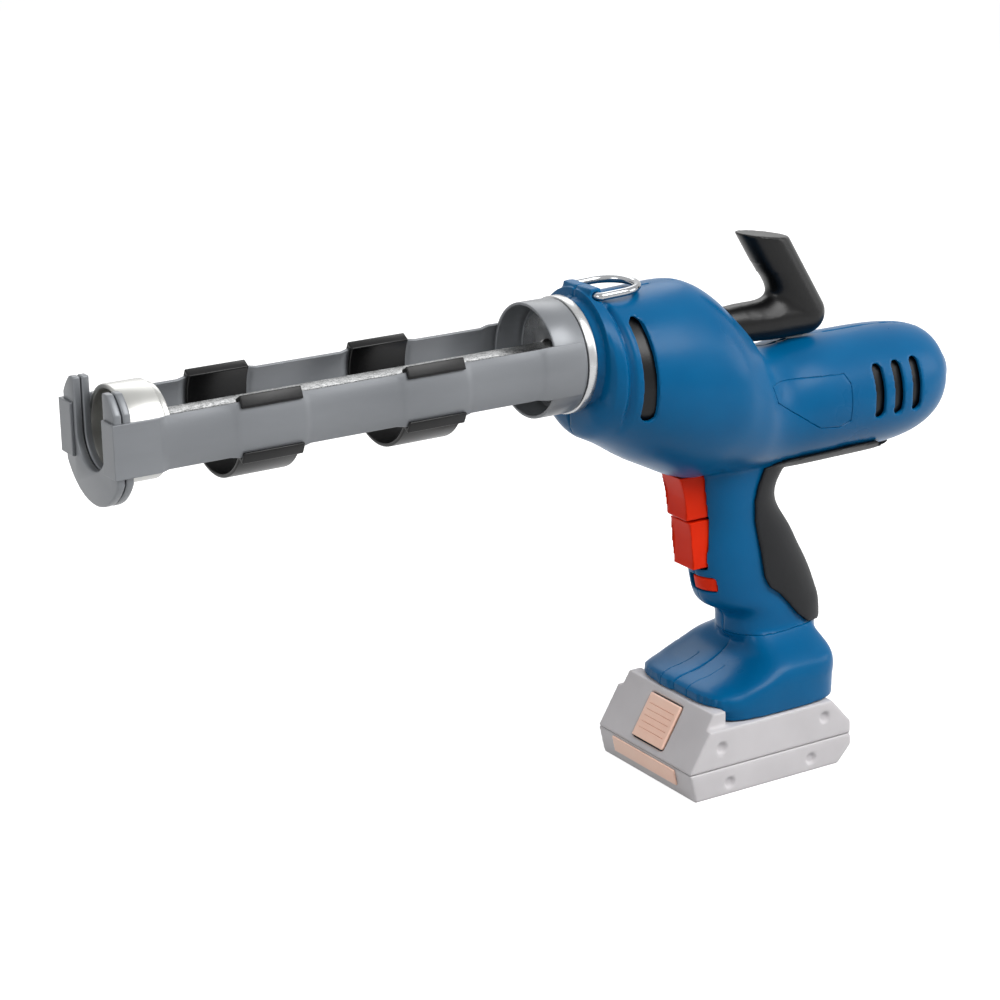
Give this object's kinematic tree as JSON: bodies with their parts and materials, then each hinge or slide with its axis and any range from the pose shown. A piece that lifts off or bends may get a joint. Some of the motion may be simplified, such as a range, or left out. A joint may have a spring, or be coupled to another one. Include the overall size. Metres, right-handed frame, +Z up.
{
  "type": "cordless caulking tool",
  "caption": "Battery caulking tool: pistol-grip casing, open cartridge holder that turns, toothed push rod with piston and pull handle, trigger with release, and a sliding battery pack.",
  "frame": {"origin": "centre of the battery pack's flat base, on the surface it stands on", "axes": "+X forward along the push rod to the nozzle end, +Y to the tool's left side, +Z up"},
  "size_m": [0.4575, 0.084, 0.2652],
  "materials": {
    "casing_blue": "satin moulded plastic",
    "grip_black": "matt soft overmould",
    "black_plastic": "fine texture",
    "trigger_red": "smooth",
    "holder_grey": "satin grey coating",
    "piston_silver": "bright plated",
    "rod_zinc": "zinc coating with a fine crystal grain",
    "nose_metal": "machined",
    "bright_ring": "polished",
    "gear_steel": "oiled",
    "frame_alloy": "die cast",
    "bush_bronze": "sintered",
    "motor_steel": "rolled",
    "magnet_dark": "dull",
    "board_green": "coated",
    "battery_grey": "pale grey",
    "battery_trim": "pale salmon",
    "cell_case": "sleeved"
  },
  "bodies": {
    "casing": {"housing_left": "casing_blue", "housing_right": "casing_blue", "housing_screws": "gear_steel", "rear_cap": "casing_blue", "grip_pad": "grip_black", "vent_baffles": "black_plastic", "nose_bush": "nose_metal", "retaining_nut": "nose_metal", "gear_frame_left": "frame_alloy", "gear_frame_right": "frame_alloy", "shaft_bushes": "bush_bronze", "frame_posts": "gear_steel", "ring_gear": "gear_steel", "gear_case": "frame_alloy", "motor_can": "motor_steel", "motor_magnets": "magnet_dark", "motor_end_cap": "black_plastic", "motor_brushes": "magnet_dark", "switch_module": "black_plastic", "terminal_block": "black_plastic", "tool_contacts": "bush_bronze", "control_board": "board_green", "rod_guide": "black_plastic"},
    "holder": {"holder_ring": "holder_grey", "rail_left": "holder_grey", "rail_right": "holder_grey", "front_plate": "holder_grey", "backing_plate": "holder_grey", "saddle_front": "black_plastic", "saddle_rear": "black_plastic"},
    "rod": {"rack_rod": "rod_zinc", "piston_back_plate": "piston_silver", "piston_cup": "piston_silver", "rod_fasteners": "gear_steel", "pull_handle": "black_plastic"},
    "pinion": {"rack_pinion_shaft": "gear_steel", "clutch_disc": "gear_steel", "clutch_spring": "gear_steel"},
    "clutch_gear": {"clutch_gear": "gear_steel"},
    "crown": {"crown_shaft": "gear_steel", "crown_wheel": "gear_steel"},
    "carrier": {"planet_carrier": "gear_steel"},
    "planet_a": {"planet_gear_a": "gear_steel"},
    "planet_b": {"planet_gear_b": "gear_steel"},
    "planet_c": {"planet_gear_c": "gear_steel"},
    "rotor": {"motor_shaft": "gear_steel", "rotor_core": "motor_steel", "commutator": "bush_bronze", "motor_fan": "black_plastic"},
    "hanger": {"hanger_ring": "bright_ring"},
    "trigger": {"trigger": "trigger_red"},
    "release": {"release_trigger": "trigger_red"},
    "lock": {"lock_slider": "trigger_red"},
    "battery": {"battery_base": "battery_grey", "battery_cover": "battery_grey", "battery_screws": "gear_steel", "battery_strip": "battery_trim", "battery_contacts": "bush_bronze", "battery_cells": "cell_case"},
    "battery_button": {"battery_release": "battery_trim"}
  },
  "joints": [
    {"name": "holder_turn", "type": "hinge", "parent": "casing", "child": "holder", "pos_m": [0.1, 0, 0.2215], "axis": [1, 0, 0], "continuous": true},
    {"name": "rod_slide", "type": "slide", "parent": "casing", "child": "rod", "axis": [1, 0, 0], "range_m": [-0.196, 0]},
    {"name": "pinion_turn", "type": "hinge", "parent": "casing", "child": "pinion", "pos_m": [0.028, 0, 0.208], "axis": [0, 1, 0], "range_deg": [-1260, 5]},
    {"name": "rotor_spin", "type": "hinge", "parent": "casing", "child": "rotor", "pos_m": [-0.06, 0, 0.1795], "axis": [1, 0, 0], "continuous": true},
    {"name": "carrier_turn", "type": "hinge", "parent": "casing", "child": "carrier", "pos_m": [-0.02, 0, 0.1795], "axis": [1, 0, 0], "continuous": true},
    {"name": "planet_a_turn", "type": "hinge", "parent": "carrier", "child": "planet_a", "pos_m": [-0.025, 0.0108, 0.1795], "axis": [1, 0, 0], "continuous": true},
    {"name": "planet_b_turn", "type": "hinge", "parent": "carrier", "child": "planet_b", "pos_m": [-0.025, -0.0054, 0.18885], "axis": [1, 0, 0], "continuous": true},
    {"name": "planet_c_turn", "type": "hinge", "parent": "carrier", "child": "planet_c", "pos_m": [-0.025, -0.0054, 0.17015], "axis": [1, 0, 0], "continuous": true},
    {"name": "crown_turn", "type": "hinge", "parent": "casing", "child": "crown", "pos_m": [0.028, 0, 0.1795], "axis": [0, 1, 0], "continuous": true},
    {"name": "clutch_gear_turn", "type": "hinge", "parent": "casing", "child": "clutch_gear", "pos_m": [0.028, 0, 0.208], "axis": [0, 1, 0], "continuous": true},
    {"name": "hanger_swing", "type": "hinge", "parent": "casing", "child": "hanger", "pos_m": [0.0825, 0, 0.2493], "axis": [0, 1, 0], "range_deg": [0, 150]},
    {"name": "trigger_pull", "type": "slide", "parent": "casing", "child": "trigger", "axis": [-1, 0, 0], "range_m": [0, 0.007], "stiffness_N_per_m": 1400},
    {"name": "release_pull", "type": "slide", "parent": "casing", "child": "release", "axis": [-1, 0, 0], "range_m": [0, 0.005], "stiffness_N_per_m": 1500},
    {"name": "lock_shift", "type": "slide", "parent": "casing", "child": "lock", "axis": [0, -1, 0], "range_m": [0, 0.003]},
    {"name": "battery_slide", "type": "slide", "parent": "casing", "child": "battery", "axis": [1, 0, 0], "range_m": [0, 0.09]},
    {"name": "button_press", "type": "slide", "parent": "battery", "child": "battery_button", "axis": [-0.8572, 0, -0.515], "range_m": [0, 0.002], "stiffness_N_per_m": 2500}
  ],
  "couplings": [
    {"joint": "pinion_turn", "follows": "rod_slide", "rad_per_m": 111.11},
    {"joint": "carrier_turn", "follows": "rotor_spin", "ratio": 0.22222},
    {"joint": "planet_a_turn", "follows": "rotor_spin", "ratio": -0.62222},
    {"joint": "planet_b_turn", "follows": "rotor_spin", "ratio": -0.62222},
    {"joint": "planet_c_turn", "follows": "rotor_spin", "ratio": -0.62222},
    {"joint": "crown_turn", "follows": "rotor_spin", "ratio": -0.11111},
    {"joint": "clutch_gear_turn", "follows": "rotor_spin", "ratio": 0.064815}
  ]
}
